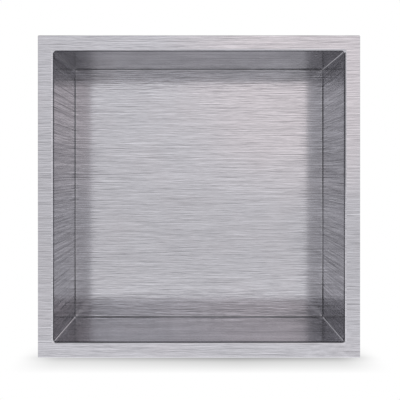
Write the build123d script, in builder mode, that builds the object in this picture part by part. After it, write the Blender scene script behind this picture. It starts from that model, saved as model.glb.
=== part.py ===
"""Shower niche insert: a square pan folded from one sheet of stainless steel.

The sheet is cut as a cross. Its four arms fold forward from the back panel to make the walls, and their
ends fold outwards to make a flat flange that covers the cut edge of the tiles. The open corners are welded
shut, ground smooth inside and left as a bead outside, so the finished niche is one piece.

The origin is the centre of the flange's back, where it meets the face of the wall. +Y points into the wall,
+Z is up and the open front faces -Y.
"""

import os

from build123d import *

# Driving dimensions, in millimetres
flange_size = 304.8  # outside of the square flange
flange_width = 14.8  # flange face, from its outer edge to the plane of the niche wall
niche_depth = 101.6  # front of the flange to the outside of the back panel
sheet = 1.5  # thickness of the steel
bend_radius = 1.2  # inside radius of every fold
weld_fill = 1.3  # how much rounder than a fold the ground weld is, inside each corner
flange_corner_radius = 1.0  # outer corners of the flange, seen from the front
edge_break = 0.4  # rounding of the flange's front outer edge
bead_radius = 1.4  # section of the weld bead outside each corner
bead_height = 0.5  # how far the bead stands proud of the walls beside it

# Sizes that follow from them
fold_radius = bend_radius + sheet  # outside radius of every fold
opening = flange_size - 2 * flange_width  # clear width and height of the niche
inner_corner_radius = bend_radius + weld_fill
pan_size = opening + 2 * sheet  # outside of the walls
pan_depth = niche_depth - sheet  # back of the flange to the outside of the back panel
bead_start = bend_radius  # the bead runs between the two folds
bead_end = pan_depth - fold_radius
bead_spacing = pan_size - 2 * (bead_radius - bead_height)

# The face of the wall that the niche is set into, looking along +Y
wall_face = Plane(origin=(0, 0, 0), x_dir=(1, 0, 0), z_dir=(0, 1, 0))
flange_front = wall_face.offset(-sheet)

# One run of weld metal along +Z, with round ends
with BuildPart() as weld_bead:
    with BuildSketch(Plane.XZ):
        with BuildLine():
            CenterArc((0, bead_start), bead_radius, -90, 90)
            Line((bead_radius, bead_start), (bead_radius, bead_end))
            CenterArc((0, bead_end), bead_radius, 0, 90)
            Line((0, bead_end + bead_radius), (0, bead_start - bead_radius))
        make_face()
    revolve(axis=Axis.Z)

with BuildPart(wall_face) as niche_body:
    # The flange is a flat square, with its front edge eased
    with BuildSketch(flange_front):
        RectangleRounded(flange_size, flange_size, flange_corner_radius)
    extrude(amount=sheet)
    fillet(niche_body.faces().sort_by(Axis.Y)[0].edges(), edge_break)

    # The pan stands behind it, with folds where the walls meet the flange and the back panel
    with BuildSketch(wall_face):
        Rectangle(pan_size, pan_size)
    extrude(amount=pan_depth)
    fillet(niche_body.edges(Select.LAST).group_by(Axis.Y)[0], bend_radius)
    fillet(niche_body.edges().group_by(Axis.Y)[-1], fold_radius)

    # A weld bead closes each corner between two walls
    with GridLocations(bead_spacing, bead_spacing, 2, 2):
        add(weld_bead.part)

    # The niche itself leaves one thickness of sheet all round, rounder in its four corners
    with BuildSketch(flange_front):
        RectangleRounded(opening, opening, inner_corner_radius)
    extrude(amount=pan_depth, mode=Mode.SUBTRACT)
    fillet(niche_body.edges(Select.LAST).group_by(Axis.Y)[-1], bend_radius)
    fillet(niche_body.faces().sort_by(Axis.Y)[0].inner_wires().edges(), fold_radius)

niche_body.part.label = "niche_body"
os.makedirs("parts", exist_ok=True)
export_step(niche_body.part, "parts/niche_body.step")
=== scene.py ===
"""Looks of the shower niche insert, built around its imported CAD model.

One sheet of stainless steel, brushed on its face and left as rolled on its back, is folded into an open
niche with a flat flange. The corners are welded outside and ground inside. All sizes are in metres, in the
frame of the CAD model: the flange's back lies in the plane Y = 0 and the open front faces -Y.
"""

import logging
import math
from dataclasses import dataclass
from enum import Enum
from functools import reduce
from typing import Callable

import bmesh
import bpy
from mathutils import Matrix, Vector


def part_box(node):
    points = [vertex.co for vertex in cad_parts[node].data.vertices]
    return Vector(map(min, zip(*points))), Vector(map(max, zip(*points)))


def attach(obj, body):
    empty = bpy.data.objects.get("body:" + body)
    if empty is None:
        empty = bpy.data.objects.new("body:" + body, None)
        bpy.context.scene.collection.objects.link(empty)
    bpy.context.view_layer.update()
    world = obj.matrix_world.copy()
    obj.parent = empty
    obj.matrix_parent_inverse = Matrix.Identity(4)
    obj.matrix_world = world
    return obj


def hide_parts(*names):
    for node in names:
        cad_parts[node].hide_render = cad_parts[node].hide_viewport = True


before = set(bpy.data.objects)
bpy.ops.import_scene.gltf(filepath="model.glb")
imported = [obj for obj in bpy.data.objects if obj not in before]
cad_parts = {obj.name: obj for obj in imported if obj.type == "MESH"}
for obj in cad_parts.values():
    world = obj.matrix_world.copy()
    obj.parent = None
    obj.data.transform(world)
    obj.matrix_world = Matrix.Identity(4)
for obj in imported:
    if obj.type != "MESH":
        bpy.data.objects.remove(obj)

LOG = logging.getLogger("niche")
NEAR = 2e-5  # two places this close are the same place
MERGED = 1e-6  # corners of a mesh this close are made one
NODE_STEP = 220  # from one node to the next in the node editor
MEAN = 0.5  # mean value of a noise
WANDER = (0.3, 0.7)  # values that most of a noise lies between
FULL_SLIP = 50.0  # how far rows of grain are shifted against each other, in line lengths
BLANK_MAP = "blank"  # UV map that lays the folded sheet out flat
MAP_MIDDLE = 0.5  # middle of that map, where the niche's axis is
FACING_FRONT = math.pi / 2  # turn about X of a flat primitive that faces the niche's front
WHITE = (1.0, 1.0, 1.0, 1.0)

Colour = tuple[float, float, float, float]
Place = tuple[float, float, float]
Pair = tuple[float, float]
Test = Callable[[Vector], bool]
Socket = bpy.types.NodeSocket


class Pick(Enum):
    """What a selection is made of."""

    VERTICES = "VERT"
    EDGES = "EDGE"
    FACES = "FACE"


class Corner(Enum):
    """The four corners between two walls, by their sides of X and Z, seen from the front."""

    TOP_LEFT = (-1, 1)
    TOP_RIGHT = (1, 1)
    BOTTOM_LEFT = (-1, -1)
    BOTTOM_RIGHT = (1, -1)


class Skin(Enum):
    """The two sides of the sheet, which are the material slots of the folded shell."""

    FACE = 0
    BACK = 1


def reach(point: Vector) -> float:
    """How far a point is from the niche's axis, measured squarely."""
    return max(abs(point.x), abs(point.z))


def near(first: float, second: float) -> bool:
    """Whether two places on a line are the same place."""
    return abs(first - second) < NEAR


def add_square(size: float, y: float, turn: float = FACING_FRONT) -> None:
    """Adds a square that faces the front, or as it is turned about X, to the open mesh or as an object."""
    bpy.ops.mesh.primitive_plane_add(size=size, location=(0, y, 0), rotation=(turn, 0, 0))


class Wiring:
    """Places and joins the nodes of one tree."""

    def __init__(self, tree: bpy.types.NodeTree) -> None:
        """Starts on a tree with nothing in it."""
        self.tree = tree
        tree.nodes.clear()

    def node(self, kind: str, *values: object, **named: object) -> bpy.types.Node:
        """Places a node.

        Args:
            kind: the node's type without its ShaderNode prefix.
            values: sockets or constants for its first inputs, in their order.
            named: properties of the node, and after them inputs, by their names.

        Returns:
            The new node.
        """
        made = self.tree.nodes.new(kind if kind.startswith("NodeGroup") else "ShaderNode" + kind)
        made.location = (NODE_STEP * len(self.tree.nodes), 0)
        for name, value in named.items():
            if name in made.inputs:
                self.feed(made.inputs[name], value)
            else:
                setattr(made, name, value)
        for target, source in zip(made.inputs, values):
            self.feed(target, source)
        return made

    def feed(self, target: Socket, source: object) -> None:
        """Joins a socket to another one, or sets it to a constant.

        Args:
            target: the socket that is fed.
            source: the other socket, or the constant.
        """
        if isinstance(source, Socket):
            self.tree.links.new(source, target)
        else:
            target.default_value = source

    def math(self, operation: str, *values: object, clamp: bool = False) -> Socket:
        """Works out one number, and with clamp keeps it within 0 and 1."""
        return self.node("Math", *values, operation=operation, use_clamp=clamp).outputs["Value"]

    def product(self, first: object, *others: object) -> Socket:
        """Multiplies numbers in their order."""
        return reduce(lambda so_far, other: self.math("MULTIPLY", so_far, other), others, first)

    def blend(self, share: object, first: object, second: object) -> Socket:
        """Blends two numbers: share 0 gives the first one and 1 the second one."""
        return self.math("MULTIPLY_ADD", self.math("SUBTRACT", second, first), share, first)

    def vector(self, operation: str, *values: object, result: str = "Vector") -> Socket:
        """Works out a vector, or a number where result is Value."""
        return self.node("VectorMath", *values, operation=operation).outputs[result]

    def scaled(self, place: Socket, share: object) -> Socket:
        """Scales a vector."""
        return self.node("VectorMath", place, operation="SCALE", Scale=share).outputs["Vector"]

    def position(self) -> Socket:
        """Gives the place on a piece, in the frame of the CAD model."""
        return self.node("TexCoord").outputs["Object"]

    def split(self, place: Socket) -> list[Socket]:
        """Takes a place apart into X, Y and Z."""
        return list(self.node("SeparateXYZ", place).outputs)

    def ramp(self, value: object, start: float, end: float, low: object = 0.0, high: object = 1.0,
             smooth: bool = False) -> Socket:
        """Maps start to low and end to high, stays between these two, and eases its ends where smooth."""
        kind = "SMOOTHSTEP" if smooth else "LINEAR"
        return self.node("MapRange", value, start, end, low, high, interpolation_type=kind).outputs["Result"]

    def between(self, share: object, low: object, high: object) -> Socket:
        """Goes evenly from one number at share 0 to another one at share 1."""
        return self.ramp(share, 0.0, 1.0, low, high)

    def fade(self, away: Socket, width: Socket) -> Socket:
        """Falls softly from 1 to 0 over a width."""
        share = self.math("DIVIDE", away, width, clamp=True)
        return self.ramp(share, 0.0, 1.0, 1.0, 0.0, smooth=True)

    def mix(self, share: object, first: object, second: object) -> Socket:
        """Blends two colours: share 0 gives the first one and 1 the second one."""
        return self.node("Mix", data_type="RGBA", Factor=share, A=first, B=second).outputs["Result"]

    def noise(self, place: Socket, scale: float, detail: float, plane: bool = False) -> Socket:
        """Gives a value that wanders about its mean, read in space or on a plane."""
        kind = "2D" if plane else "3D"
        return self.node("TexNoise", place, noise_dimensions=kind, Scale=scale, Detail=detail).outputs["Fac"]

    def group(self, tree: bpy.types.NodeTree, *values: object) -> Socket:
        """Places a shared group with its inputs in their order, and gives its result."""
        return self.node("Group", *values, node_tree=tree).outputs[0]

    def grey(self, level: Socket) -> Socket:
        """Gives a brightness as a grey."""
        return self.node("CombineColor", level, level, level).outputs["Color"]


class Effects:
    """Node groups that the finishes share, and the ways to place them."""

    def __init__(self) -> None:
        """Builds each group once."""
        self.grain = self.build_grain()
        self.corner = self.build_corner()
        self.fold = self.build_fold()

    @staticmethod
    def start(name: str, numbers: list[str], result: str) -> tuple[Wiring, list[Socket], Socket]:
        """Opens a new group that works out one number from a place and other numbers.

        Args:
            name: the group's name.
            numbers: names of the number inputs, which come after the place.
            result: name of the output.

        Returns:
            The wiring of the group, what it is given, and the socket for its result.
        """
        tree = bpy.data.node_groups.new(name, "ShaderNodeTree")
        tree.interface.new_socket("Place", in_out="INPUT", socket_type="NodeSocketVector")
        for label in numbers:
            tree.interface.new_socket(label, in_out="INPUT", socket_type="NodeSocketFloat")
        tree.interface.new_socket(result, in_out="OUTPUT", socket_type="NodeSocketFloat")
        wiring = Wiring(tree)
        entry = wiring.node("NodeGroupInput")
        leave = wiring.node("NodeGroupOutput")
        return wiring, [entry.outputs[label] for label in ("Place", *numbers)], leave.inputs[result]

    def build_grain(self) -> bpy.types.NodeTree:
        """Makes straight lines that run along the sheet's length, each row shifted along it on its own.

        Returns:
            A group that gives the lines as a value about its mean.
        """
        numbers = ["Length", "Pitch", "Slip"]
        wiring, (place, length, pitch, slip), result = self.start("grain_lines", numbers, "Lines")
        along, across, _ = wiring.split(place)
        along = wiring.math("DIVIDE", along, length)
        across = wiring.math("DIVIDE", across, pitch)
        row = wiring.node("TexWhiteNoise", noise_dimensions="1D", W=wiring.math("FLOOR", across))
        shifted = wiring.math("MULTIPLY_ADD", row.outputs["Value"], slip, along)
        squeezed = wiring.node("CombineXYZ", shifted, across).outputs["Vector"]
        wiring.feed(result, wiring.noise(squeezed, scale=1.0, detail=2.0, plane=True))
        return wiring.tree

    def build_corner(self) -> bpy.types.NodeTree:
        """Makes a mask for the strip beside each welded corner.

        Returns:
            A group that gives 1 at the corner and 0 at Width from it, along either wall.
        """
        wiring, (place, wall, width), result = self.start("corner_strip", ["Wall", "Width"], "Mask")
        across, _, up = wiring.split(wiring.vector("ABSOLUTE", place))
        away = wiring.math("SUBTRACT", wall, wiring.math("MINIMUM", across, up))
        wiring.feed(result, wiring.fade(away, width))
        return wiring.tree

    def build_fold(self) -> bpy.types.NodeTree:
        """Makes a mask for a line that runs round the niche, such as a fold.

        Returns:
            A group that gives 1 on the line and 0 at Width from it.
        """
        numbers = ["Level", "Wall", "Width"]
        wiring, (place, level, wall, width), result = self.start("fold_line", numbers, "Mask")
        across, deep, up = wiring.split(place)
        across, up = wiring.math("ABSOLUTE", across), wiring.math("ABSOLUTE", up)
        sideways = wiring.math("SUBTRACT", wiring.math("MAXIMUM", across, up), wall)
        deep = wiring.math("SUBTRACT", deep, level)
        further = wiring.math("MAXIMUM", wiring.math("ABSOLUTE", sideways), wiring.math("ABSOLUTE", deep))
        wiring.feed(result, wiring.fade(further, width))
        return wiring.tree

    def lines(self, wiring: Wiring, place: Socket, length: float, pitch: float,
              slip: float = FULL_SLIP) -> Socket:
        """Places lines of one length and pitch along the sheet."""
        return wiring.group(self.grain, place, length, pitch, slip)

    def strip(self, wiring: Wiring, position: Socket, wall: float, width: object) -> Socket:
        """Places a strip that starts at a wall's distance from the axis, beside each corner."""
        return wiring.group(self.corner, position, wall, width)


@dataclass(frozen=True)
class SheetSizes:
    """Sizes of the folded sheet."""

    low: Vector  # lowest corner of the CAD model
    high: Vector  # highest corner of the CAD model
    flange_width: float = 0.0148  # flange face, from its outer edge to the plane of the niche wall
    sheet: float = 0.0015  # thickness of the steel
    bend: float = 0.0012  # inside radius of every fold
    ground: float = 0.0025  # radius of the ground weld inside each corner
    flange_corner: float = 0.001  # outer corners of the flange, seen from the front
    edge_break: float = 0.0004  # rounding of the flange's front outer edge

    @property
    def front(self) -> float:
        """Y of the flange's face."""
        return self.low.y

    @property
    def flange_back(self) -> float:
        """Y of the flange's back, where it meets the wall."""
        return self.low.y + self.sheet

    @property
    def floor(self) -> float:
        """Y of the back panel's face, the floor of the pan."""
        return self.high.y - self.sheet

    @property
    def back(self) -> float:
        """Y of the back panel's outside."""
        return self.high.y

    @property
    def flange_half(self) -> float:
        """From the axis to the flange's outer edge."""
        return self.high.x

    @property
    def wall_half(self) -> float:
        """From the axis to the face of a wall."""
        return self.high.x - self.flange_width

    @property
    def pan_half(self) -> float:
        """From the axis to the outside of a wall."""
        return self.wall_half + self.sheet

    @property
    def fold(self) -> float:
        """Outside radius of every fold."""
        return self.bend + self.sheet

    @property
    def weld_middle(self) -> float:
        """From the axis to the middle of the ground weld inside a corner, along X or Z."""
        return self.wall_half - self.ground * (1 - math.cos(math.pi / 4))

    @property
    def blank(self) -> float:
        """Width of the sheet before it is folded."""
        return 2 * (self.flange_half + self.floor - self.front)


def new_finish(name: str) -> bpy.types.Material:
    """Starts a material that is made of nodes.

    Args:
        name: the material's name.

    Returns:
        The material.
    """
    made = bpy.data.materials.new(name)
    made.use_nodes = True
    return made


def bare_metal(wiring: Wiring, height: Socket, relief: Pair, **inputs: object) -> None:
    """Places the shader of bare metal, with a shallow relief, and joins it to the output.

    Args:
        wiring: the material's nodes.
        height: the pattern that stands out.
        relief: how strongly the pattern shows and how far it stands out.
        inputs: what else feeds the shader, by the names of its inputs, with _ for a space.
    """
    strength, depth = relief
    bump = wiring.node("Bump", Strength=strength, Distance=depth, Height=height)
    named = {name.replace("_", " "): source for name, source in inputs.items()}
    shader = wiring.node("BsdfPrincipled", Metallic=1.0, Normal=bump.outputs["Normal"], **named)
    wiring.node("OutputMaterial", shader.outputs["BSDF"])


def unfolded(wiring: Wiring, sizes: SheetSizes) -> Socket:
    """Gives the place on the sheet before it was folded, in metres."""
    return wiring.scaled(wiring.node("UVMap", uv_map=BLANK_MAP).outputs["UV"], sizes.blank)


@dataclass(frozen=True)
class FoldTone:
    """A painted line of shade or highlight that runs along a fold, round the niche."""

    level: float  # Y of the line
    wall: float  # from the axis to the line
    width: float  # how far from the line its tone has run out
    colour: Colour  # its tone
    strength: float  # how strongly it shows
    at_corners: float  # how strongly it shows where two folds meet
    at_sides: float = 1.0  # how much of that is left along the side walls


@dataclass(frozen=True)
class BrushedFace:
    """Brushed stainless steel, with its grain along the sheet and ground corners, and with shade and
    highlights painted along the folds, the corners and the welds.
    """

    dark: Colour = (0.208, 0.205, 0.2215, 1.0)  # the darkest lines
    light: Colour = (0.855, 0.845, 0.907, 1.0)  # the lightest lines
    warm: Colour = (0.57, 0.52, 0.55, 1.0)  # faint warmer patches
    corner_shade: Colour = (0.3, 0.295, 0.315, 1.0)  # painted shade on the walls close to a corner
    seam: Colour = (0.95, 0.94, 0.97, 1.0)  # ground weld line, painted near white as a highlight
    seam_flank_shade: Colour = (0.1, 0.098, 0.105, 1.0)  # painted shade on the strip beside the weld line
    fold_shade: Colour = (0.15, 0.147, 0.157, 1.0)  # painted shade along the back panel's folds and the opening's lip
    fold_highlight: Colour = (0.95, 0.94, 0.97, 1.0)  # painted highlight on the wall's side of the back panel's folds

    # Each layer of grain lines: its length, its pitch, its share, and its share on the walls
    layers: tuple[tuple[float, float, float, float], ...] = (
        (0.2, 0.0006, 0.2, 0.45), (0.06, 0.0006, 0.27, 0.35),
        (0.024, 0.0005, 0.33, 0.2), (0.008, 0.0005, 0.2, 0.0))
    crisp: float = 0.45  # how strongly a line off the walls is set off against the lines beside it
    crisp_reach: float = 0.00105  # how far away those lines are
    tone: float = 0.515  # mean tone of the steel, from its darkest to its lightest lines
    panel_contrast: float = 1.6  # how strongly the lines show on the back panel
    flange_contrast: float = 1.4  # how strongly they show on the flange
    wall_contrast: float = 2.2  # how strongly they show on the walls
    edge_contrast: float = 1.9  # how much more strongly they show beside the panel's upper and lower fold
    edge_reach: Pair = (0.024, 0.012)  # where that starts and where it is full, from the fold
    side_contrast: float = 1.35  # how much more strongly they show beside the panel's side folds
    side_reach: Pair = (0.03, 0.02)  # where that starts and where it is full, from the fold
    bands: Pair = (0.25, 0.006)  # length and pitch of broad bands on the walls
    band_contrast: float = 0.5  # how strongly the bands show

    spot_place: Place = (0.125, -0.0015, -0.145)  # middle of a blotchy place on the flange
    spot_reach: Pair = (0.012, 0.035)  # how far from there the grain is blotchy, and where it is plain again
    blotches: Pair = (0.011, 0.0026)  # length and pitch of the blotches
    blotch_tones: Pair = (0.3, 0.7)  # least and greatest value of a blotch
    scratches: Pair = (0.05, 0.0009)  # length and pitch of the lines, of which a few are deeper scratches
    scratch_values: Pair = (0.27, 0.38)  # value of a full scratch, and the value that is none any more
    scratched: float = 0.6  # how dark the scratches are
    wall_scratched: float = 0.3  # how much of that is left on the walls
    cloud_scale: float = 22.0  # waves in a metre of the patches that are warmer and rougher
    warm_values: Pair = (0.45, 0.75)  # where a patch starts to be warm, and where it is warmest
    warmed: float = 0.12  # how warm it is there
    edge_highlight_width: float = 0.0012  # width of the painted highlight along the flange's lower edge

    corner_shade_start: float = 0.012  # how far from a corner the painted shade on the walls is even
    corner_shade_fade: float = 0.035  # over what length it fades out from there
    dull_shine: float = 0.75  # share of the low-angle gloss that is left there
    corner_shade_shares: Pair = (0.35, 0.62)  # how strongly the painted shade darkens the lower and the upper wall there
    side_corner_shade_shares: Pair = (0.3, 0.0)  # the same for the side walls, in their lower and upper corners
    shade_gap: float = 0.012  # how far from a corner the painted shade is weaker
    shade_gap_shares: Pair = (0.0, 0.7)  # how much of the painted shade is left there, in the lower and upper corners
    meeting: float = 0.012  # how far from a corner the tones of a fold have run out
    seam_highlight_width: float = 0.0005  # half the width of the ground weld line, painted bright as a highlight
    seam_highlight_shares: Pair = (1.0, 0.0)  # how bright the painted highlight is, and how bright in the top left corner, where the light gives none
    flank_shade_width: float = 0.0017  # half the width of the painted shade that the weld line runs in
    flank_shade_shares: Pair = (0.9, 0.64)  # how dark that strip is, and how dark in the top left corner

    grazed: Colour = (0.67, 0.67, 0.67, 1.0)  # share of the mirror-like gloss that is left at a low angle
    shine_values: Pair = (0.43, 0.57)  # lines of the walls with no gloss and with full gloss at a low angle
    roughness: float = 0.165  # mean roughness of the grain on the panel and the flange
    wall_roughness: float = 0.17  # mean roughness of the grain on the walls
    rough_values: Pair = (0.38, 0.62)  # the roughest and the smoothest lines
    line_roughness: Pair = (0.05, 0.11)  # what these add and take, off the walls and on them
    cloud_roughness: float = 0.012  # what the patches add and take
    seam_roughness: float = -0.1  # what the bright line along a weld adds
    matt_reach: float = 0.02  # how far from an inside corner grinding has left the steel matt
    matt_roughness: float = 0.12  # what that adds, in the corner itself
    relief: Pair = (0.5, 4e-6)  # strength and depth of the lines

    def make(self, effects: Effects, sizes: SheetSizes) -> bpy.types.Material:
        """Builds the finish from the shared node groups, for a sheet of given sizes."""
        return FaceNodes(self, effects, sizes).build()

    def fold_tones(self, sizes: SheetSizes) -> list[FoldTone]:
        """Lists the painted shade and highlights along the folds, from the back panel to the flange.

        Args:
            sizes: sizes of the folded sheet.

        Returns:
            The tones, in the order in which they are laid over the steel.
        """
        bend, fold, wall = sizes.bend, sizes.fold, sizes.wall_half
        return [
            # painted shade in the back panel's folds
            FoldTone(level=sizes.floor, wall=wall - 0.5 * bend, width=0.6 * bend, colour=self.fold_shade,
                     strength=0.9, at_corners=0.6, at_sides=0.8),
            # painted highlight on the wall's side of those folds
            FoldTone(level=sizes.floor - 0.9 * bend, wall=wall, width=0.7 * bend, colour=self.fold_highlight,
                     strength=1.0, at_corners=0.0),
            # painted highlight on the flange's side of the opening's lip
            FoldTone(level=sizes.front + 0.2 * fold, wall=wall + 0.4 * fold, width=0.4 * fold,
                     colour=self.light, strength=0.25, at_corners=0.25),
            # painted shade on the wall's side of that lip
            FoldTone(level=sizes.front + 0.8 * fold, wall=wall, width=bend, colour=self.fold_shade,
                     strength=1.0, at_corners=1.0)]


class FaceNodes(Wiring):
    """The nodes of the brushed face: where on the sheet a place lies, and what the steel is like there."""

    def __init__(self, look: BrushedFace, effects: Effects, sizes: SheetSizes) -> None:
        """Works out where a place lies, and the patterns that more than one method uses.

        Args:
            look: the finish.
            effects: the shared node groups.
            sizes: sizes of the folded sheet.
        """
        self.material = new_finish("brushed_stainless_face")
        super().__init__(self.material.node_tree)
        self.look, self.effects, self.sizes = look, effects, sizes
        self.on_sheet, self.on_niche = unfolded(self, sizes), self.position()
        wall = sizes.wall_half
        sideways, deep, self.height = self.split(self.on_niche)
        self.off_x, self.off_z = self.math("ABSOLUTE", sideways), self.math("ABSOLUTE", self.height)
        self.on_side = self.math("GREATER_THAN", self.off_x, self.off_z)
        self.on_panel = self.math("GREATER_THAN", deep, sizes.floor - sizes.bend / 2)
        self.behind_lip = self.ramp(deep, sizes.front + sizes.fold / 2, sizes.front + sizes.fold)
        before_floor = self.ramp(deep, sizes.floor - sizes.bend, sizes.floor, 1.0, 0.0)
        self.on_wall = self.product(self.behind_lip, before_floor)
        # painted highlight along each ground weld and painted shade on the strip it runs in, both weaker
        # towards the top left corner
        toward_top_left = self.ramp(self.math("SUBTRACT", self.height, sideways), wall, 2 * wall, smooth=True)
        self.seam, self.painted_flank_shade = (
            self.product(self.strip(sizes.weld_middle, width), self.on_wall, self.between(toward_top_left, *shares))
            for width, shares in ((look.seam_highlight_width, look.seam_highlight_shares), (look.flank_shade_width, look.flank_shade_shares)))
        self.lines = self.grain()
        self.cloud = self.noise(self.on_sheet, look.cloud_scale, detail=2.0, plane=True)
        # painted shade on the walls near each corner, darker towards the top and weaker right in the corner
        shade_kept = self.between(self.strip(wall, look.shade_gap), 1.0, self.rising(look.shade_gap_shares))
        self.painted_corner_shade = self.product(self.strip(wall - look.corner_shade_start, look.corner_shade_fade), shade_kept)

    def strip(self, wall: float, width: float) -> Socket:
        """Places a strip that starts at a wall's distance from the axis, beside each corner."""
        return self.effects.strip(self, self.on_niche, wall, width)

    def rows(self, length: float, pitch: float, slip: float = FULL_SLIP) -> Socket:
        """Places lines of one length and pitch along the sheet."""
        return self.effects.lines(self, self.on_sheet, length, pitch, slip)

    def rising(self, shares: Pair) -> Socket:
        """Goes evenly from one number at the niche's bottom to another one at its top."""
        return self.ramp(self.height, -self.sizes.wall_half, self.sizes.wall_half, *shares)

    def grain(self) -> Socket:
        """Works out the grain, crisper off the walls and blotchy at one place of the flange.

        Returns:
            The socket with the lines, as a value about its mean.
        """
        look = self.look
        beside = [self.vector("ADD", self.on_sheet, Vector((0, away, 0)))
                  for away in (-look.crisp_reach, look.crisp_reach)]
        lines, wall_lines, lines_beside = 0.0, 0.0, 0.0
        for length, pitch, share, wall_share in look.layers:
            layer = self.rows(length, pitch)
            lines = self.math("MULTIPLY_ADD", layer, share, lines)
            wall_lines = self.math("MULTIPLY_ADD", layer, wall_share, wall_lines)
            for place in beside:
                layer = self.effects.lines(self, place, length, pitch)
                lines_beside = self.math("MULTIPLY_ADD", layer, share / len(beside), lines_beside)
        lines = self.math("MULTIPLY_ADD", self.math("SUBTRACT", lines, lines_beside), look.crisp, lines)
        lines = self.blend(self.on_wall, lines, wall_lines)
        from_spot = self.vector("DISTANCE", self.on_niche, Vector(look.spot_place), result="Value")
        in_spot = self.ramp(from_spot, *look.spot_reach, 1.0, 0.0, smooth=True)
        blotches = self.between(self.rows(*look.blotches, slip=0.0), *look.blotch_tones)
        return self.blend(in_spot, lines, blotches)

    def streaks(self) -> Socket:
        """Works out how light the lines are, with the contrast that each part of the sheet shows.

        Returns:
            The socket with the tone, from 0 for the darkest to 1 for the lightest.
        """
        look = self.look
        contrast = self.between(self.on_panel, look.flange_contrast, look.panel_contrast)
        for off_axis, limits, stronger in ((self.off_z, look.edge_reach, look.edge_contrast),
                                           (self.off_x, look.side_reach, look.side_contrast)):
            to_fold = self.math("SUBTRACT", self.sizes.wall_half, off_axis)
            beside_fold = self.product(self.ramp(to_fold, *limits), self.on_panel)
            contrast = self.product(contrast, self.between(beside_fold, 1.0, stronger))
        contrast = self.between(self.on_wall, contrast, look.wall_contrast)
        streak = self.math("MULTIPLY_ADD", self.math("SUBTRACT", self.lines, MEAN), contrast, look.tone)
        bands = self.math("SUBTRACT", self.rows(*look.bands), MEAN)
        return self.math("ADD", streak, self.product(bands, look.band_contrast, self.on_wall), clamp=True)

    def colour(self) -> Socket:
        """Works out the steel's colour: streaks, scratches and patches, then painted shade near the corners
        and along the folds, and painted highlights on the folds, the lower edge and the welds.

        Returns:
            The socket with the colour.
        """
        look, sizes = self.look, self.sizes
        steel = self.mix(self.streaks(), look.dark, look.light)
        scratches = self.ramp(self.rows(*look.scratches), *look.scratch_values, look.scratched, 0.0)
        scratches = self.product(scratches, self.between(self.on_wall, 1.0, look.wall_scratched))
        steel = self.mix(scratches, steel, look.dark)
        steel = self.mix(self.ramp(self.cloud, *look.warm_values, 0.0, look.warmed), steel, look.warm)
        # lays the painted shade over the walls near each corner
        corner_dimming = self.blend(self.on_side, self.rising(look.corner_shade_shares), self.rising(look.side_corner_shade_shares))
        steel = self.mix(self.product(self.painted_corner_shade, self.on_wall, corner_dimming), steel, look.corner_shade)
        meeting = self.strip(sizes.wall_half, look.meeting)
        # lays the painted shade and highlights along the folds
        for tone in look.fold_tones(sizes):
            line = self.group(self.effects.fold, self.on_niche, tone.level, tone.wall, tone.width)
            strength = self.product(self.between(meeting, tone.strength, tone.at_corners),
                                    self.between(self.on_side, 1.0, tone.at_sides))
            steel = self.mix(self.product(line, strength), steel, tone.colour)
        # lays the painted shade beside each weld line
        steel = self.mix(self.painted_flank_shade, steel, look.seam_flank_shade)
        # painted highlight along the flange's lower edge
        painted_edge_highlight = self.ramp(self.height, sizes.low.z, sizes.low.z + look.edge_highlight_width, 1.0, 0.0)
        # lays the painted highlight over each ground weld
        return self.mix(self.seam, self.mix(painted_edge_highlight, steel, look.light), look.seam)

    def shine(self) -> Socket:
        """Works out the gloss that the lines of the walls and the ground welds add at a low angle.

        Returns:
            The socket with the gloss.
        """
        glossy = self.ramp(self.lines, *self.look.shine_values)
        corner_dimming = self.between(self.painted_corner_shade, 1.0, self.look.dull_shine)
        off_seam = self.math("SUBTRACT", 1.0, self.painted_flank_shade)
        return self.math("MAXIMUM", self.product(glossy, self.on_wall, corner_dimming, off_seam), self.seam)

    def roughness(self) -> Socket:
        """Works out the roughness, which follows the lines, the patches and the ground corners.

        Returns:
            The socket with the roughness.
        """
        look = self.look
        rough = self.between(self.on_wall, look.roughness, look.wall_roughness)
        matt = self.strip(self.sizes.wall_half, look.matt_reach)
        rough = self.math("ADD", rough, self.product(matt, self.behind_lip, look.matt_roughness))
        coarse = self.ramp(self.lines, *look.rough_values, 1.0, -1.0)
        rough = self.math("MULTIPLY_ADD", coarse, self.between(self.on_wall, *look.line_roughness), rough)
        patches = self.ramp(self.cloud, *WANDER, -look.cloud_roughness, look.cloud_roughness)
        return self.math("MULTIPLY_ADD", self.seam, look.seam_roughness, self.math("ADD", rough, patches))

    def build(self) -> bpy.types.Material:
        """Joins everything to the shader.

        Returns:
            The material.
        """
        bare_metal(self, self.lines, self.look.relief, Base_Color=self.colour(), Coat_Weight=self.shine(),
                   Roughness=self.roughness(), Coat_Roughness=self.look.wall_roughness,
                   Specular_Tint=self.look.grazed)
        return self.material


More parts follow.
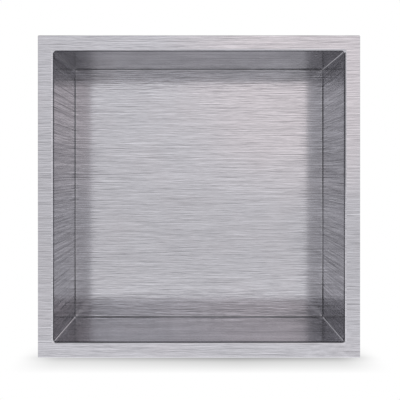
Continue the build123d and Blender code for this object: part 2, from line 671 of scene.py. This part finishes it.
@dataclass(frozen=True)
class MillBack:
    """The back of the sheet as it left the rolls, with heat tints beside the welds."""

    dark: Colour = (0.44, 0.437, 0.446, 1.0)  # the darker mottling
    light: Colour = (0.56, 0.557, 0.563, 1.0)  # the lighter mottling
    bare: Colour = (0.68, 0.675, 0.68, 1.0)  # a scuff, and the line ground along a weld
    straw: Colour = (0.5, 0.42, 0.3, 1.0)  # the tint further from a weld
    blue: Colour = (0.3, 0.31, 0.36, 1.0)  # the tint close to a weld

    # Each layer of rolled lines: its length, its pitch and its share
    layers: tuple[tuple[float, float, float], ...] = ((0.25, 0.004, 0.3), (0.12, 0.0011, 0.4))
    mottle_scale: float = 420.0  # waves of the mottling in a metre
    mottle_share: float = 0.3  # its share of the tone
    tone_values: Pair = (0.35, 0.65)  # the darkest and the lightest tone
    smudge_scale: float = 14.0  # waves in a metre of the smudges from handling
    smudge_values: Pair = (0.5, 0.68)  # where a smudge starts and where it is full
    smudged: float = 0.4  # how dark the smudges are
    scuffs: Pair = (0.05, 0.0007)  # length and pitch of the lines, of which a few are scuffs
    scuff_turns: tuple[Pair, ...] = ((38.0, 0.74), (-24.0, 0.75), (83.0, 0.76))  # degrees, and least value
    scuff_edge: float = 0.05  # how far above the least value a scuff is full
    scuffed: float = 0.5  # how bright the scuffs are
    tint_scale: float = 160.0  # waves in a metre of the tints' edges
    tint_widths: Pair = (0.75, 1.25)  # least and greatest share of a tint's width

    grazed: Colour = (0.75, 0.75, 0.75, 1.0)  # share of the mirror-like gloss that is left at a low angle
    roughness: Pair = (0.31, 0.41)  # least and greatest roughness of the mottling
    smudge_roughness: float = 0.08  # what a smudge adds
    scuff_roughness: float = -0.1  # what a scuff adds
    relief: Pair = (0.5, 6e-6)  # strength and depth of the mottling

    def make(self, effects: Effects, sizes: SheetSizes) -> bpy.types.Material:
        """Builds the finish.

        Args:
            effects: the shared node groups.
            sizes: sizes of the folded sheet.

        Returns:
            The material.
        """
        made = new_finish("mill_stainless_back")
        wiring = Wiring(made.node_tree)
        place, position = unfolded(wiring, sizes), wiring.position()
        mottle = wiring.noise(position, self.mottle_scale, detail=3.0)
        tone = wiring.product(mottle, self.mottle_share)
        for length, pitch, share in self.layers:
            tone = wiring.math("MULTIPLY_ADD", effects.lines(wiring, place, length, pitch), share, tone)
        steel = wiring.mix(wiring.ramp(tone, *self.tone_values), self.dark, self.light)
        smudges = wiring.noise(position, self.smudge_scale, detail=4.0)
        smudges = wiring.ramp(smudges, *self.smudge_values, smooth=True)
        steel = wiring.mix(wiring.product(smudges, self.smudged), steel, self.dark)
        scuffs = 0.0
        for turn, start in self.scuff_turns:
            turned = wiring.node("VectorRotate", place, rotation_type="Z_AXIS", Angle=math.radians(turn))
            marks = effects.lines(wiring, turned.outputs["Vector"], *self.scuffs)
            scuffs = wiring.math("MAXIMUM", scuffs, wiring.ramp(marks, start, start + self.scuff_edge))
        steel = wiring.mix(wiring.product(scuffs, self.scuffed), steel, self.bare)
        rough = wiring.ramp(mottle, *WANDER, *self.roughness)
        rough = wiring.math("MULTIPLY_ADD", smudges, self.smudge_roughness, rough)
        rough = wiring.math("MULTIPLY_ADD", scuffs, self.scuff_roughness, rough)
        bare_metal(wiring, mottle, self.relief, Base_Color=self.tinted(wiring, effects, sizes, steel),
                   Roughness=rough, Specular_Tint=self.grazed)
        return made

    def tinted(self, wiring: Wiring, effects: Effects, sizes: SheetSizes, steel: Socket) -> Socket:
        """Lays the heat tints over the steel, along the welds of the pan and of the flange's mitres.

        Args:
            wiring: the material's nodes.
            effects: the shared node groups.
            sizes: sizes of the folded sheet.
            steel: the colour without tints.

        Returns:
            The socket with the tinted colour.
        """
        position = wiring.position()
        across, _, up = wiring.split(wiring.vector("ABSOLUTE", position))
        to_pan = wiring.math("DIVIDE", sizes.pan_half, wiring.math("MAXIMUM", across, up))
        pulled_in = wiring.scaled(position, wiring.math("MINIMUM", to_pan, 1.0))
        wander = wiring.ramp(wiring.noise(position, self.tint_scale, detail=2.0), *WANDER, *self.tint_widths)
        for half_width, tint, strength in ((0.009, self.straw, 0.55), (0.0045, self.blue, 0.6),
                                           (0.0018, self.bare, 0.75)):
            strip = effects.strip(wiring, pulled_in, sizes.pan_half, wiring.product(wander, half_width))
            steel = wiring.mix(wiring.product(strip, strength), steel, tint)
        return steel


@dataclass(frozen=True)
class WeldMetal:
    """Weld metal as it set, silvery with tinted patches."""

    silver: Colour = (0.56, 0.55, 0.55, 1.0)  # clean weld metal
    straw: Colour = (0.46, 0.4, 0.33, 1.0)  # tinted weld metal
    patch_scale: float = 260.0  # waves of the tinted patches in a metre
    patch_values: Pair = (0.35, 0.65)  # where a patch starts and where it is full
    roughness: Pair = (0.22, 0.4)  # least and greatest roughness
    grit_scale: float = 1500.0  # waves of the surface's grit in a metre
    relief: Pair = (0.4, 2e-5)  # strength and depth of the grit

    def make(self) -> bpy.types.Material:
        """Builds the finish.

        Returns:
            The material.
        """
        made = new_finish("weld_metal")
        wiring = Wiring(made.node_tree)
        position = wiring.position()
        patches = wiring.noise(position, self.patch_scale, detail=3.0)
        metal = wiring.mix(wiring.ramp(patches, *self.patch_values), self.silver, self.straw)
        grit = wiring.noise(position, self.grit_scale, detail=2.0)
        bare_metal(wiring, grit, self.relief, Base_Color=metal,
                   Roughness=wiring.ramp(patches, *WANDER, *self.roughness))
        return made


@dataclass
class Workbench:
    """One mesh, shaped in edit mode with the tools of hand modelling."""

    piece: bpy.types.Object  # the object on the bench

    @classmethod
    def take(cls, name: str) -> "Workbench":
        """Names the new object, puts its place into its mesh, and opens it.

        Args:
            name: the piece's name.

        Returns:
            The bench with the piece on it.
        """
        piece = bpy.context.object
        piece.name = piece.data.name = name
        bpy.ops.object.transform_apply(location=True, rotation=True, scale=True)
        bpy.ops.object.mode_set(mode="EDIT")
        return cls(piece)

    def pick(self, what: Pick, test: Test) -> None:
        """Selects everything of one kind whose corners all pass a test.

        Args:
            what: vertices, edges or faces.
            test: tells whether a place counts.
        """
        bpy.ops.mesh.select_mode(type=what.value)
        bpy.ops.mesh.select_all(action="DESELECT")
        mesh = bmesh.from_edit_mesh(self.piece.data)
        if what is Pick.VERTICES:
            found = [vertex for vertex in mesh.verts if test(vertex.co)]
        else:
            groups = mesh.edges if what is Pick.EDGES else mesh.faces
            found = [item for item in groups if all(test(vertex.co) for vertex in item.verts)]
        for item in found:
            item.select_set(True)
        bmesh.update_edit_mesh(self.piece.data)

    def round_corners(self, half: float, y: float, radius: float, steps: int) -> None:
        """Rounds the four corners of a flat square.

        Args:
            half: half the square's width.
            y: its place along Y.
            radius: radius of its corners.
            steps: edges in each corner.
        """
        self.pick(Pick.VERTICES, lambda p: near(p.y, y) and min(abs(p.x), abs(p.z)) > half - NEAR)
        bpy.ops.mesh.bevel(offset=radius, segments=steps, profile=0.5, affect="VERTICES")

    def pull(self, along: float) -> None:
        """Extrudes the selected faces or edges along Y."""
        bpy.ops.mesh.extrude_region_move(TRANSFORM_OT_translate={"value": (0, along, 0)})

    def widen(self, share: float) -> None:
        """Scales the selected ring about its own centre, across Y."""
        bpy.ops.transform.resize(value=(share, 1.0, share))

    def open_up(self, test: Test) -> None:
        """Takes out the faces whose corners all pass a test, and leaves their edges."""
        self.pick(Pick.FACES, test)
        bpy.ops.mesh.delete(type="ONLY_FACE")

    def bridge(self, y: float) -> None:
        """Joins the two outlines that lie at a place along Y by a band of faces."""
        self.pick(Pick.EDGES, lambda p: near(p.y, y))
        bpy.ops.mesh.bridge_edge_loops()

    def round_fold(self, test: Test, radius: float, steps: int) -> None:
        """Rounds a fold between two walls.

        Args:
            test: tells whether a place is on the fold.
            radius: radius of the fold.
            steps: faces round the fold.
        """
        self.pick(Pick.EDGES, test)
        bpy.ops.mesh.bevel(offset=radius, offset_type="OFFSET", segments=steps, profile=0.5,
                           affect="EDGES", clamp_overlap=False)

    def close(self) -> None:
        """Merges doubles, turns the faces outwards and puts the piece down."""
        bpy.ops.mesh.select_mode(type="VERT")
        bpy.ops.mesh.select_all(action="SELECT")
        bpy.ops.mesh.remove_doubles(threshold=MERGED)
        bpy.ops.mesh.normals_make_consistent(inside=False)
        bpy.ops.object.mode_set(mode="OBJECT")


@dataclass
class FoldedShell:
    """The sheet, folded into a back panel, four walls and a flange."""

    sizes: SheetSizes
    corner_steps: int = 8  # edges in each corner of the opening and of the flange
    inner_steps: int = 6  # faces round a fold on its inside
    outer_steps: int = 8  # faces round a fold on its outside
    edge_steps: int = 3  # faces round the flange's front edge
    smooth_angle: float = math.radians(35)  # folds finer than this are shaded smooth
    bench: Workbench | None = None  # where the shell is modelled

    def build(self, face: bpy.types.Material, back: bpy.types.Material) -> bpy.types.Object:
        """Models the shell and gives each side of the sheet its finish.

        Args:
            face: finish of the side that shows.
            back: finish of the side against the wall.

        Returns:
            The shell.
        """
        bpy.ops.object.select_all(action="DESELECT")
        add_square(2 * self.sizes.wall_half, self.sizes.front)
        self.bench = Workbench.take("niche_shell")
        shell = self.bench.piece
        shell.data.materials.append(face)
        shell.data.materials.append(back)
        self.sink_pan()
        self.add_flange()
        self.add_outside()
        self.round_folds()
        self.bench.close()
        self.smooth()
        self.lay_flat()
        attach(shell, "root")
        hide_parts("niche_body")
        return shell

    def on_rim(self, point: Vector) -> bool:
        """Whether a place lies on the flange's outer rim."""
        return reach(point) > self.sizes.flange_half - self.sizes.flange_corner

    def sink_pan(self) -> None:
        """Rounds the opening's corners and sinks its face to the back panel, which draws the walls."""
        size, bench = self.sizes, self.bench
        bench.round_corners(size.wall_half, size.front, size.ground, self.corner_steps)
        bench.pick(Pick.FACES, lambda p: True)
        bench.pull(size.floor - size.front)
        bench.open_up(lambda p: near(p.y, size.front))

    def add_flange(self) -> None:
        """Bridges the opening to the flange's outline, and gives its rim the sheet's thickness."""
        size, bench = self.sizes, self.bench
        add_square(2 * size.flange_half, size.front)
        bench.round_corners(size.flange_half, size.front, size.flange_corner, self.corner_steps)
        bench.open_up(self.on_rim)
        bench.bridge(size.front)
        bench.pick(Pick.EDGES, self.on_rim)
        bench.pull(size.sheet)

    def add_outside(self) -> None:
        """Adds the outside of the pan, joins it to the flange's rim and marks it as the sheet's back."""
        size, bench = self.sizes, self.bench
        add_square(2 * size.pan_half, size.flange_back, -FACING_FRONT)
        bench.pick(Pick.FACES, lambda p: near(p.y, size.flange_back))
        bench.pull(size.back - size.flange_back)
        bench.open_up(lambda p: near(p.y, size.flange_back))
        bench.bridge(size.flange_back)
        bench.pick(Pick.FACES, lambda p: p.y > size.flange_back - NEAR and reach(p) > size.pan_half - NEAR)
        bench.piece.active_material_index = Skin.BACK.value
        bpy.ops.object.material_slot_assign()

    def round_folds(self) -> None:
        """Rounds every fold on both of its sides, and eases the flange's front edge."""
        size, bench = self.sizes, self.bench
        bench.round_fold(lambda p: near(p.y, size.floor), size.bend, self.inner_steps)
        bench.round_fold(lambda p: near(p.y, size.front) and reach(p) < size.wall_half + NEAR,
                         size.fold, self.outer_steps)
        bench.round_fold(lambda p: near(p.y, size.back), size.fold, self.outer_steps)
        bench.round_fold(lambda p: near(p.y, size.flange_back) and reach(p) < size.pan_half + NEAR,
                         size.bend, self.inner_steps)
        bench.round_fold(lambda p: near(p.y, size.front) and self.on_rim(p),
                         size.edge_break, self.edge_steps)

    def smooth(self) -> None:
        """Shades the folds smooth and keeps the flat panels flat."""
        bpy.ops.object.shade_smooth_by_angle(angle=self.smooth_angle)
        weighted = self.bench.piece.modifiers.new("flat_panels", "WEIGHTED_NORMAL")
        weighted.keep_sharp = True
        bpy.ops.object.modifier_apply(modifier=weighted.name)

    def lay_flat(self) -> None:
        """Writes where each corner of a face lay on the sheet before it was folded.

        The flange's face was brushed once more after welding, so there the lines run on at the corners.
        """
        size, mesh = self.sizes, self.bench.piece.data
        layer = mesh.uv_layers.get(BLANK_MAP) or mesh.uv_layers.new(name=BLANK_MAP)
        mesh.uv_layers.active = layer
        for polygon in mesh.polygons:
            is_face = polygon.material_index == Skin.FACE.value
            wall = size.wall_half if is_face else size.pan_half
            ground = size.floor if is_face else size.back
            sideways = abs(polygon.center.x) > abs(polygon.center.z)
            on_flange = is_face and reach(polygon.center) > size.wall_half + size.fold
            for index in polygon.loop_indices:
                point = mesh.vertices[mesh.loops[index].vertex_index].co
                across, up = point.x, point.z
                if not on_flange:
                    away = abs(across if sideways else up)
                    run = min(away, wall) + ground - point.y + max(away - wall, 0.0)
                    across = math.copysign(run, across) if sideways else across
                    up = up if sideways else math.copysign(run, up)
                layer.data[index].uv = (across / size.blank + MAP_MIDDLE, up / size.blank + MAP_MIDDLE)


@dataclass
class WeldBeads:
    """The runs of weld metal outside the four corners."""

    sizes: SheetSizes
    radius: float = 0.0014  # section of a bead
    proud: float = 0.0005  # how far a bead stands proud of the walls
    ripples: int = 62  # number of ripples in a run
    waist: float = 0.86  # how narrow a bead is between two ripples
    crest: tuple[Pair, ...] = ((0.3, 0.98), (0.35, 1.0))  # steps along a ripple, and the width after each
    last_step: float = 0.35  # the step from there to the next waist
    cap: tuple[Pair, ...] = ((0.45, 0.8), (0.3, 0.55))  # steps of a round end in radii, and the width left
    sides: int = 12  # faces round a bead
    joined: float = 1e-5  # ends of two ripples this close are made one
    smooth_angle: float = math.radians(60)  # edges finer than this are shaded smooth

    def build(self, finish: bpy.types.Material) -> list[bpy.types.Object]:
        """Models one bead and copies it to each corner.

        Args:
            finish: the weld metal.

        Returns:
            The four beads.
        """
        made = []
        for corner in Corner:
            made.append(self.copy(made[0], corner) if made else self.model(corner, finish))
        for bead in made:
            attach(bead, "root")
        return made

    def place(self, corner: Corner) -> Vector:
        """Gives the place where the bead of a corner starts, at the fold of the flange.

        Args:
            corner: where the bead stands.

        Returns:
            The middle of the bead's first ring.
        """
        along = self.sizes.pan_half - self.radius + self.proud
        side, level = corner.value
        return Vector((side * along, self.sizes.flange_back + self.sizes.bend, level * along))

    def model(self, corner: Corner, finish: bpy.types.Material) -> bpy.types.Object:
        """Models one ripple, repeats it along the corner and rounds both ends.

        Args:
            corner: where the bead stands.
            finish: the weld metal.

        Returns:
            The bead.
        """
        start = self.place(corner)
        run = self.sizes.back - self.sizes.fold - start.y
        pitch = run / self.ripples
        bpy.ops.object.select_all(action="DESELECT")
        bpy.ops.mesh.primitive_circle_add(vertices=self.sides, radius=self.radius * self.waist,
                                          location=start, rotation=(FACING_FRONT, 0, 0))
        bench = Workbench.take(self.name(corner))
        bead = bench.piece
        bead.data.materials.append(finish)
        level, width = start.y, self.waist
        for step, next_width in (*self.crest, (self.last_step, self.waist)):
            bench.pick(Pick.EDGES, lambda p: near(p.y, level))
            bench.pull(step * pitch)
            bench.widen(next_width / width)
            level, width = level + step * pitch, next_width
        bpy.ops.object.mode_set(mode="OBJECT")
        self.repeat(bead, pitch)
        bpy.ops.object.mode_set(mode="EDIT")
        self.round_end(bench, start.y, -1)
        self.round_end(bench, start.y + run, 1)
        bench.close()
        bpy.ops.object.shade_smooth_by_angle(angle=self.smooth_angle)
        return bead

    def repeat(self, bead: bpy.types.Object, pitch: float) -> None:
        """Repeats one ripple along the run.

        Args:
            bead: the bead, with one ripple.
            pitch: length of a ripple.
        """
        rows = bead.modifiers.new("ripples", "ARRAY")
        rows.count = self.ripples
        rows.use_relative_offset = False
        rows.use_constant_offset = True
        rows.constant_offset_displace = (0, pitch, 0)
        rows.use_merge_vertices = True
        rows.merge_threshold = self.joined
        bpy.ops.object.modifier_apply(modifier=rows.name)

    def round_end(self, bench: Workbench, level: float, way: int) -> None:
        """Rounds one end of a bead.

        Args:
            bench: the bead.
            level: Y of the end.
            way: which way the end points along Y.
        """
        bench.pick(Pick.EDGES, lambda p: near(p.y, level))
        for step, share in self.cap:
            bench.pull(way * step * self.radius)
            bench.widen(share)
        bpy.ops.mesh.edge_face_add()

    def copy(self, bead: bpy.types.Object, corner: Corner) -> bpy.types.Object:
        """Copies the first bead to another corner, with a mesh of its own.

        Args:
            bead: the bead that was modelled.
            corner: where the copy stands.

        Returns:
            The copy.
        """
        bpy.ops.object.select_all(action="DESELECT")
        bead.select_set(True)
        bpy.context.view_layer.objects.active = bead
        bpy.ops.object.duplicate(linked=False)
        made = bpy.context.object
        made.name = made.data.name = self.name(corner)
        made.location = self.place(corner) - self.place(Corner.TOP_LEFT)
        bpy.ops.object.transform_apply(location=True, rotation=True, scale=True)
        return made

    @staticmethod
    def name(corner: Corner) -> str:
        """The name of a corner's bead."""
        return "weld_bead_" + corner.name.lower()


@dataclass
class Studio:
    """Floor, light and camera of the picture."""

    sizes: SheetSizes
    frame_px: int = 400  # width and height of the picture
    vanishing_px: Pair = (199.0, 174.1)  # where lines along Y meet in the picture, from its top left corner
    flange_px: float = 322.4  # width of the flange in the picture
    eye_distance: float = 0.565  # from the flange's face to the camera
    eye_height: float = 0.0212  # height of the camera above the niche's axis
    sensor: float = 36.0  # width of the camera's sensor, in millimetres
    clip: float = 0.01  # nearer than this to the camera nothing shows

    floor_size: float = 8.0  # width of the floor
    floor_colour: Colour = (0.8, 0.8, 0.8, 1.0)  # the floor where it lights the object's underside
    floor_levels: Pair = (0.99, 0.88)  # brightness of the mirrored floor, close by and further off
    floor_reach: Pair = (0.05, 0.36)  # how far in front of the niche these two levels are
    floor_behind: Pair = (0.4, 0.62)  # how far behind the niche it falls off, and the share left there
    shade_reach: Pair = (0.045, 0.0135)  # how far its wide and narrow shade reach from the flange, along Y
    shade_depth: Pair = (0.47, 0.17)  # how dark these two parts are
    shade_ends: Pair = (0.128, 0.175)  # where the shade starts to fade at either end, and is gone, along X
    shade_middle: float = 0.035  # where the shade is darkest, along X
    shade_slope: Pair = (0.2, 0.6)  # how far from there it falls off, and the share that is left there
    pan_ends: Pair = (0.09, 0.152)  # where the shade under the pan starts to fade, and is gone, along X
    pan_reach: Pair = (0.045, 0.15)  # where that shade is darkest, and where it is gone, along Y
    pan_depth: float = 0.42  # how dark it is

    front_way: Place = (0.36, -0.9, -0.25)  # middle of the studio's bright side, which the niche faces
    front_angles: Pair = (50.0, 88.0)  # degrees from there where it starts to fall off, and where it ends
    dim: float = 0.28  # brightness of the studio between its bright side and its back, as a share
    back_spread: Pair = (-0.4, -0.9)  # cosines of the angles from there where its back starts and is full
    back_share: float = 0.85  # brightness of its back, as a share
    soft: float = 0.9  # brightness of the studio on surfaces without gloss
    key_way: Place = (0.3, -0.757, 0.58)  # where the studio is brightest
    key_spread: Pair = (0.535, 0.925)  # cosines of the angles from there where the light is plain and full
    key_levels: Pair = (0.84, 1.018)  # plain and full brightness
    warm_way: Place = (0.171, -0.97, 0.174)  # where the light is warmest
    warm_spread: Pair = (0.97, 0.996)  # cosines of the angles from there where it is white and warm
    warm: Colour = (1.13, 1.065, 1.045, 1.0)  # colour of the warm light, against white

    def build(self) -> None:
        """Sets the floor, the light and the camera."""
        bpy.context.scene.view_settings.view_transform = "Standard"
        self.lay_floor()
        self.light()
        self.place_camera()

    def lay_floor(self) -> None:
        """Lays a white floor that keeps the object's soft shade."""
        bpy.ops.object.select_all(action="DESELECT")
        bpy.ops.mesh.primitive_plane_add(size=self.floor_size, location=(0, 0, self.sizes.low.z))
        floor = bpy.context.object
        floor.name = "studio_floor"
        bpy.ops.object.transform_apply(location=True, rotation=True, scale=True)
        made = new_finish("studio_white")
        wiring = Wiring(made.node_tree)
        rays = wiring.node("LightPath").outputs
        seen = wiring.mix(rays["Is Camera Ray"], self.mirrored_floor(wiring), self.shade(wiring))
        glow = wiring.node("Emission", seen).outputs["Emission"]
        plain_floor = wiring.node("BsdfDiffuse", self.floor_colour).outputs["BSDF"]
        shown = wiring.math("MAXIMUM", rays["Is Camera Ray"], rays["Is Glossy Ray"])
        shown = wiring.math("MAXIMUM", shown, rays["Is Transmission Ray"])
        wiring.node("OutputMaterial", wiring.node("MixShader", shown, plain_floor, glow).outputs["Shader"])
        floor.data.materials.append(made)

    def mirrored_floor(self, wiring: Wiring) -> Socket:
        """Works out the floor as the steel shows it, brightest close to the niche.

        Args:
            wiring: the floor's nodes.

        Returns:
            The socket with the floor's brightness, as a grey.
        """
        _, deep, _ = wiring.split(wiring.position())
        ahead = wiring.math("SUBTRACT", self.sizes.front, deep)
        level = wiring.ramp(ahead, *self.floor_reach, *self.floor_levels)
        far, share = self.floor_behind
        behind = wiring.ramp(deep, self.sizes.back, self.sizes.back + far, 1.0, share, smooth=True)
        return wiring.grey(wiring.product(level, behind))

    def shade(self, wiring: Wiring) -> Socket:
        """Works out the soft shade round the place where the object stands.

        Args:
            wiring: the floor's nodes.

        Returns:
            The socket with the floor's brightness, as a grey.
        """
        across, deep, _ = wiring.split(wiring.position())
        middle = (self.sizes.front + self.sizes.flange_back) / 2
        along = wiring.math("ABSOLUTE", wiring.math("SUBTRACT", deep, middle))
        away = wiring.math("SUBTRACT", along, self.sizes.sheet / 2)
        wide, narrow = (wiring.ramp(away, 0.0, far, depth, 0.0)
                        for far, depth in zip(self.shade_reach, self.shade_depth))
        beside = wiring.math("ABSOLUTE", across)
        ends = wiring.ramp(beside, *self.shade_ends, 1.0, 0.0, smooth=True)
        off_middle = wiring.math("ABSOLUTE", wiring.math("SUBTRACT", across, self.shade_middle))
        far, share = self.shade_slope
        slope = wiring.ramp(off_middle, 0.0, far, 1.0, share)
        loss = wiring.product(wiring.math("ADD", wide, narrow), wiring.product(ends, slope))
        within = wiring.ramp(beside, *self.pan_ends, 1.0, 0.0, smooth=True)
        darker = wiring.ramp(deep, 0.0, self.pan_reach[0], 0.0, self.pan_depth)
        past = wiring.ramp(deep, *self.pan_reach, 1.0, 0.0, smooth=True)
        loss = wiring.math("MAXIMUM", loss, wiring.product(darker, past, within))
        return wiring.grey(wiring.math("SUBTRACT", 1.0, loss))

    def light(self) -> None:
        """Surrounds the object with soft light, white in front and greyer at the sides."""
        world = bpy.data.worlds.new("studio_light")
        world.use_nodes = True
        wiring = Wiring(world.node_tree)
        way = wiring.node("TexCoord").outputs["Generated"]
        facing, to_key, to_warm = (
            wiring.vector("DOT_PRODUCT", way, Vector(middle).normalized(), result="Value")
            for middle in (self.front_way, self.key_way, self.warm_way))
        full, none = (math.cos(math.radians(angle)) for angle in self.front_angles)
        front = wiring.ramp(facing, none, full, self.dim, 1.0, smooth=True)
        behind = wiring.ramp(facing, *self.back_spread, self.dim, self.back_share, smooth=True)
        key = wiring.ramp(to_key, *self.key_spread, *self.key_levels, smooth=True)
        rays = wiring.node("LightPath").outputs
        mirrored = wiring.math("MAXIMUM", rays["Is Glossy Ray"], rays["Is Transmission Ray"])
        level = wiring.product(wiring.math("MAXIMUM", front, behind), key, mirrored)
        level = wiring.math("MULTIPLY_ADD", wiring.math("SUBTRACT", 1.0, mirrored), self.soft, level)
        level = wiring.math("MAXIMUM", rays["Is Camera Ray"], level)
        warmth = wiring.product(wiring.ramp(to_warm, *self.warm_spread, smooth=True), mirrored)
        tent = wiring.node("Background", wiring.mix(warmth, WHITE, self.warm), level)
        wiring.node("OutputWorld", tent.outputs["Background"])
        bpy.context.scene.world = world

    def place_camera(self) -> None:
        """Stands the camera square to the niche, as far off and as high as the picture shows."""
        across, down = self.vanishing_px
        middle = self.frame_px / 2
        focal_px = self.flange_px / (2 * self.sizes.flange_half) * self.eye_distance
        lens = bpy.data.cameras.new("studio_camera")
        lens.sensor_width = self.sensor
        lens.lens = self.sensor * focal_px / self.frame_px
        lens.shift_x = (middle - across) / self.frame_px
        lens.shift_y = (down - middle) / self.frame_px
        lens.clip_start = self.clip
        camera = bpy.data.objects.new("studio_camera", lens)
        camera.location = (0, self.sizes.front - self.eye_distance, self.eye_height)
        camera.rotation_euler = (FACING_FRONT, 0, 0)
        bpy.context.scene.collection.objects.link(camera)
        bpy.context.scene.camera = camera


def main() -> None:
    """Builds the niche and its studio."""
    logging.basicConfig(level=logging.INFO)
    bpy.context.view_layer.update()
    low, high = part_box("niche_body")
    sizes = SheetSizes(low, high)
    effects = Effects()

    shell = FoldedShell(sizes).build(BrushedFace().make(effects, sizes), MillBack().make(effects, sizes))
    LOG.info("%s: %d faces", shell.name, len(shell.data.polygons))
    for bead in WeldBeads(sizes).build(WeldMetal().make()):
        LOG.info("%s: %d faces", bead.name, len(bead.data.polygons))
    Studio(sizes).build()
    LOG.info("studio: floor, light and camera")


if __name__ == "__main__":
    main()
